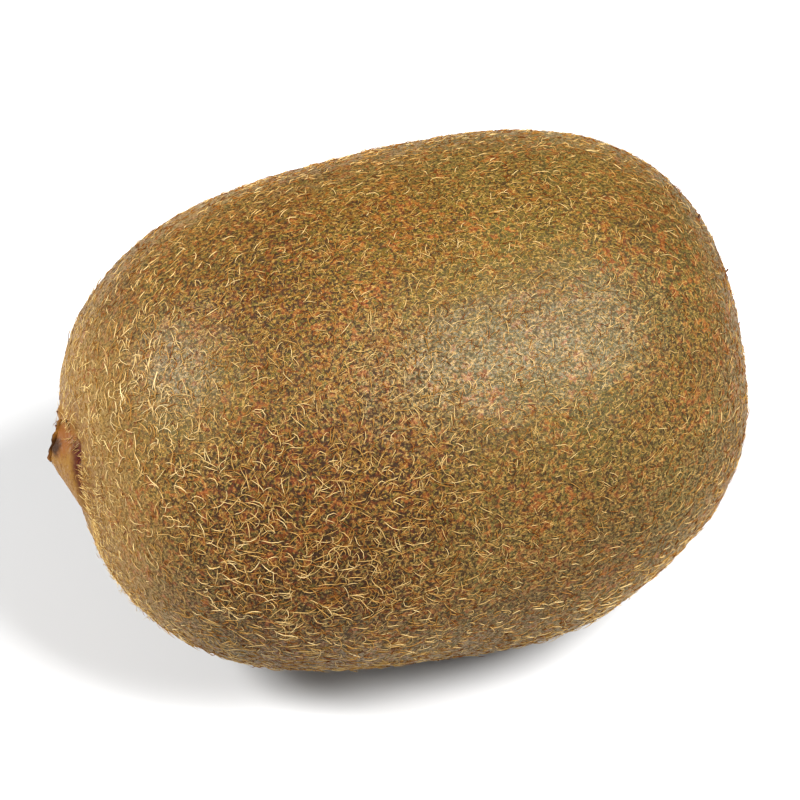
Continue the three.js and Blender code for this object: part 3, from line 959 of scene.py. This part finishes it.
def turned_piece(name, place, rings, sides):
    """A closed round piece about its place's Z, from a filled circle extruded and resized ring by ring."""
    bpy.ops.object.select_all(action="DESELECT")
    radius, height = (v * MM for v in rings[0])
    bpy.ops.mesh.primitive_circle_add(
        vertices=sides, radius=radius, location=(0, 0, height), fill_type="NGON"
    )
    piece = bpy.context.object
    piece.name = name
    bpy.ops.object.transform_apply(location=True)
    bpy.ops.object.mode_set(mode="EDIT")
    bpy.ops.mesh.select_all(action="SELECT")
    for k in range(1, len(rings)):
        grown = rings[k][0] / rings[k - 1][0]
        rise = (rings[k][1] - rings[k - 1][1]) * MM
        bpy.ops.mesh.extrude_region_move(TRANSFORM_OT_translate={"value": (0, 0, rise)})
        bpy.ops.transform.resize(value=(grown, grown, 1), center_override=(0, 0, rings[k][1] * MM))
    bpy.ops.mesh.merge(type="CENTER")
    bpy.ops.mesh.select_all(action="SELECT")
    bpy.ops.mesh.normals_make_consistent(inside=False)
    bpy.ops.object.mode_set(mode="OBJECT")
    piece.data.transform(place)
    bpy.ops.object.shade_smooth()
    return piece


stem_scar = turned_piece("stem_scar", BUTTON, SCAR_RINGS, 64)
roughen(stem_scar, "cork_lumps", 0.9 * MM, 1, 0.20 * MM)
roughen(stem_scar, "cork_grain", 0.35 * MM, 3, 0.2 * MM)
print("stem scar:", len(stem_scar.data.polygons), "faces")

# %% Scar material
CORK_PITS, CORK_GRAIN = (0.034, 0.012, 0.003), (0.145, 0.060, 0.012)
RIM_GOLD, RIM_BROWN = (0.16, 0.068, 0.011), (0.07, 0.022, 0.004)

scar = Nodes("scar_cork")
ripple = scar.maths("MULTIPLY_ADD", scar.noise(0.7 * MM, 3.0, 0.6, (0.9, 0.4, 0.2)), 1.4 * MM, -0.7 * MM)
from_middle = scar.maths("ADD", scar.within(BUTTON, (0, 0, 0), (1, 1, 0)), ripple)
tone = scar.mix(scar.fade(scar.noise(0.25 * MM, 4.0, 0.7), 0.42, 0.58), CORK_PITS, CORK_GRAIN)
rim_tone = scar.mix(scar.fade(scar.noise(0.5 * MM, 3.0, 0.65), 0.4, 0.6), RIM_GOLD, RIM_BROWN)
tone = scar.mix(scar.fade(from_middle, 0.3 * MM, 0.9 * MM, 0.8, 0.0), tone, STAIN)
tone = scar.mix(scar.fade(from_middle, 1.5 * MM, 2.0 * MM, 0.0, 0.9), tone, rim_tone)
tone = scar.mix(scar.near(STAIN_SPOT, 0.5 * MM, 1.1 * MM, 0.6 * MM), tone, STAIN)
scar.colour(tone)
scar.shader.inputs["Roughness"].default_value = 0.7
scar.shader.inputs["Specular IOR Level"].default_value = 0.02
scar.bump(scar.noise(0.16 * MM, 4.0, 0.7), 0.10 * MM, 1.0)
stem_scar.data.materials.append(scar.material)
print("scar material:", len(scar.tree.nodes), "nodes")


# %% [markdown]
# ## Sepals
# The dried sepals are brittle flakes that lie outwards from the moat's edge, half lost among the bristles.
# One is modelled from a grid: its far rows are narrowed and its tip curled, and Solidify gives it a wall.
# The others are copies, each with its own mesh, turned round the button, and two small scraps stick to the
# skin beside the styles at the other end.

# %% Model one sepal
def model_sepal():
    """A flake that lies along +X from 0 to 1, about one wide, with +Y out of the skin."""
    bpy.ops.object.select_all(action="DESELECT")
    bpy.ops.mesh.primitive_grid_add(x_subdivisions=8, y_subdivisions=6, size=1, location=(0.5, 0, 0))
    flake = bpy.context.object
    bpy.ops.object.transform_apply(location=True)
    points = points_of(flake)
    bpy.ops.object.mode_set(mode="EDIT")
    bpy.ops.mesh.select_mode(type="VERT")
    for x in np.unique(np.round(points[:, 0], 4)):
        bpy.ops.mesh.select_all(action="DESELECT")
        bpy.ops.object.mode_set(mode="OBJECT")
        row = np.abs(points[:, 0] - x) < 1e-3
        flake.data.vertices.foreach_set("select", row)
        bpy.ops.object.mode_set(mode="EDIT")
        narrowed = 0.75 + 0.25 * math.sin(math.pi * x) - 0.55 * x**3
        curl = 0.22 * x**2 + 0.05 * math.sin(9 * x)
        bpy.ops.transform.resize(value=(1, narrowed, 1), center_override=(x, 0, 0))
        bpy.ops.transform.translate(value=(0, 0, curl))
    bpy.ops.object.mode_set(mode="OBJECT")
    apply_modifier(flake, "SOLIDIFY", thickness=0.1, offset=0)
    apply_modifier(flake, "SUBSURF", levels=1, render_levels=1)
    flake.data.transform(UPRIGHT)
    return flake


def copied(model, name, matrix):
    copy = bpy.data.objects.new(name, model.data.copy())
    bpy.context.scene.collection.objects.link(copy)
    copy.data.transform(matrix)
    return copy


# %% Lay the sepals and the scraps
SEPAL_WAYS = (0.16, 0.8, 1.45, 2.1, 5.52)  # radians round the button
SEPAL_LIFT = 0.18  # radians off the skin
SCRAP_SPOTS = ((30.0, -3.8, 42.0), (31.2, -7.9, 37.8))  # mm
SCRAP_SIZE = (0.7 * MM, 1.7 * MM, 0.6 * MM, 1)

random = np.random.default_rng(11)
model = model_sepal()
flakes = []
for way in SEPAL_WAYS:
    spread = Matrix.Diagonal((random.uniform(1.1, 1.5) * MM, 0.8 * MM, random.uniform(0.9, 1.3) * MM, 1))
    stand = (
        Matrix.Translation(Vector((0.8, 0, 0)) * MM)
        @ Matrix.Rotation(way, 4, "Y")
        @ Matrix.Translation(Vector((3.9, -0.15, 0)) * MM)
        @ Matrix.Rotation(SEPAL_LIFT, 4, "Z")
    )
    flakes.append(copied(model, "sepal", STEM @ stand @ spread))
for spot in SCRAP_SPOTS:
    nearest = skin.data.vertices[np.linalg.norm(points_of(skin) - np.array(spot) * MM, axis=1).argmin()]
    stuck = end_frame(nearest.co / MM, (0.2, 0.4, 0.9), nearest.normal)
    flakes.append(copied(model, "scrap", stuck @ Matrix.Diagonal(SCRAP_SIZE)))
bpy.data.objects.remove(model)
sepals = joined("sepals", flakes)
roughen(sepals, "flake_crumple", 0.5 * MM, 2, 0.22 * MM)
bpy.ops.object.shade_smooth()
print("sepals:", len(sepals.data.polygons), "faces")

# %% Sepal material
def dry_material(name, low, high, dark_tone, pale_tone, roughness, grain):
    """A dull, brittle finish: two tones parted by a noise, with grain of a given height."""
    dry = Nodes(name)
    pale_share = dry.fade(dry.noise(0.4 * MM, 3.0, 0.6), low, high)
    dry.colour(dry.mix(pale_share, dark_tone, pale_tone))
    dry.shader.inputs["Roughness"].default_value = roughness
    dry.bump(dry.noise(0.15 * MM, 3.0, 0.6), grain, 0.8)
    return dry.material


sepals.data.materials.append(
    dry_material(
        "dry_sepal", 0.38, 0.62,
        dark_tone=(0.035, 0.014, 0.008), pale_tone=(0.13, 0.05, 0.018), roughness=0.65, grain=0.05 * MM,
    )
)
print("sepal material:", sepals.data.materials[0].name)


# %% [markdown]
# ## Bristles round the stem
# The moat is fringed with stiff golden bristles. Some bridge it, pointing at the button, and the rest splay
# out over the skin and curl.

# %% Plant the bristles
BRISTLE_WIDTH = (0.05, 0.08)  # mm
BRISTLE_SHADE = (2.2, 1.8)  # a little more pale than dark ones


def stem_bristles(name, pattern, count, seed, ring, arc, inwards, length, lift, spread, turn):
    """Bristles between two sizes of the bare oval, within an arc either side of the moat's deepest place.
    Those that point inwards bridge the moat."""
    random = np.random.default_rng(seed)

    def weigh(place):
        oval, angle, height = round_the_button(place, BARE)
        in_ring = (oval > ring[0]) & (oval < ring[1]) & (height > BARE_REACH)
        return in_ring * (off_deepest(angle) < arc) * (1.5 - oval / ring[1])

    place, normal = scatter(skin_surface, count, random, weigh)
    comb = place - np.array(STEM @ Vector((BARE[0] * MM, 0, 0)))
    _, angle, _ = round_the_button(place, BARE)
    stand = np.clip(1.9 - off_deepest(angle), 0.15, 1) if not inwards else 1.0
    start = random.uniform(*lift, count) * stand
    return grow(
        name,
        pattern,
        place,
        normal,
        comb=-comb if inwards else comb,
        yaw=random.normal(-0.4 if inwards else 0, spread, count),
        turn=random.normal(0, turn, count),
        kinks=random.normal(0, 0.15 * turn, (count, KINKS)),
        lift=start,
        droop=start * random.uniform(0.6, 2.0, count),
        length=random.uniform(*length, count) * MM,
        width=random.uniform(*BRISTLE_WIDTH, count) * MM,
        shade=random.beta(*BRISTLE_SHADE, count),
    )


bristle_pieces = [
    stem_bristles(
        "bridging_bristles", curl_pattern, count=260, seed=41, ring=(0.99, 1.22), arc=1.5, inwards=True,
        length=(0.8, 1.4), lift=(0.2, 0.5), spread=0.2, turn=0.2,
    ),
    stem_bristles(
        "splayed_bristles", long_pattern, count=900, seed=42, ring=(1.1, 2.6), arc=4.0, inwards=False,
        length=(0.9, 1.9), lift=(0.4, 1.1), spread=2.4, turn=3.8,
    ),
]
for piece in bristle_pieces:
    piece.data.materials.append(gold_material)


# %% [markdown]
# ## Withered styles
# At the blossom end a tuft of dead styles sits in a shallow socket. Each is a thin stalk with a pinched
# waist and a blunt tip, so the modelled style strand is planted on a woody foot, which is turned as the
# scar was.

# %% Foot of the styles
FOOT_RINGS = [  # radius and height over the blossom end's frame, mm
    (1.5, -0.85),
    (2.1, -0.6),
    (2.35, -0.15),
    (2.2, 0.05),
    (1.9, 0.16),
    (1.5, 0.24),
    (1.1, 0.3),
    (0.7, 0.34),
    (0.3, 0.33),
]
style_foot = turned_piece("style_foot", BLOSSOM @ UPRIGHT, FOOT_RINGS, 40)
roughen(style_foot, "foot_grain", 0.5 * MM, 3, 0.3 * MM)
print("foot of the styles:", len(style_foot.data.polygons), "faces")

# %% Plant the styles
STYLE_COUNT = 36
TUFT_RADIUS = 1.7 * MM

random = np.random.default_rng(29)
blossom_axes = np.array(BLOSSOM.to_3x3())
out = blossom_axes[:, 1]
golden_turn = np.arange(STYLE_COUNT) * math.pi * (3 - math.sqrt(5))
outness = np.sqrt((np.arange(STYLE_COUNT) + 0.5) / STYLE_COUNT)
ray = np.stack([np.cos(golden_turn), np.zeros(STYLE_COUNT), np.sin(golden_turn)], axis=1) @ blossom_axes.T
roots = np.array(BLOSSOM.translation) + ray * (TUFT_RADIUS * outness)[:, None] + out * (0.05 * MM)
styles = grow(
    "styles",
    style_pattern,
    place=roots,
    normal=np.tile(out, (STYLE_COUNT, 1)),
    comb=ray + random.normal(0, 0.15, (STYLE_COUNT, 3)),
    yaw=random.normal(0, 0.4, STYLE_COUNT),
    turn=random.normal(0, 1.2, STYLE_COUNT),
    kinks=random.normal(0, 0.15, (STYLE_COUNT, KINKS)),
    lift=1.45 - 1.15 * outness,
    droop=random.uniform(0.0, 0.5, STYLE_COUNT),
    length=random.uniform(1.3, 2.2, STYLE_COUNT) * MM,
    width=random.uniform(0.32, 0.46, STYLE_COUNT) * MM,
    shade=random.random(STYLE_COUNT),
)
styles_reach = points_of(styles)[:, 0].max()
print("styles reach x =", round(styles_reach / MM, 2), "mm, and the fruit", round(fruit_high.x / MM, 2))

# %% Materials of the styles and their foot
styles.data.materials.append(
    strand_material(
        "withered_style",
        stops=[(0.0, (0.025, 0.010, 0.005)), (0.6, (0.07, 0.028, 0.010)), (1.0, (0.13, 0.058, 0.020))],
        root_tone=(0.03, 0.012, 0.008),
        root_share=0.5,
        tip_tone=(0.02, 0.010, 0.008),
        tip_share=0.7,
    )
)
style_foot.data.materials.append(
    dry_material(
        "woody_foot", 0.4, 0.6,
        dark_tone=(0.03, 0.014, 0.008), pale_tone=(0.10, 0.045, 0.02), roughness=0.75, grain=0.06 * MM,
    )
)
print("style materials:", styles.data.materials[0].name, "and", style_foot.data.materials[0].name)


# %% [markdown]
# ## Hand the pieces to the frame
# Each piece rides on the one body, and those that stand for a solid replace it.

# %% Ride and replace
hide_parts("fruit")
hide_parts("dried_styles")
for piece in [skin, stem_scar, *hair_pieces, *bristle_pieces]:
    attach(piece, "root")
for piece in [sepals, style_foot, styles]:
    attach(piece, "root")
triangles = sum(len(p.vertices) - 2 for o in bpy.data.objects if o.type == "MESH" for p in o.data.polygons)
print("triangles in all:", triangles)
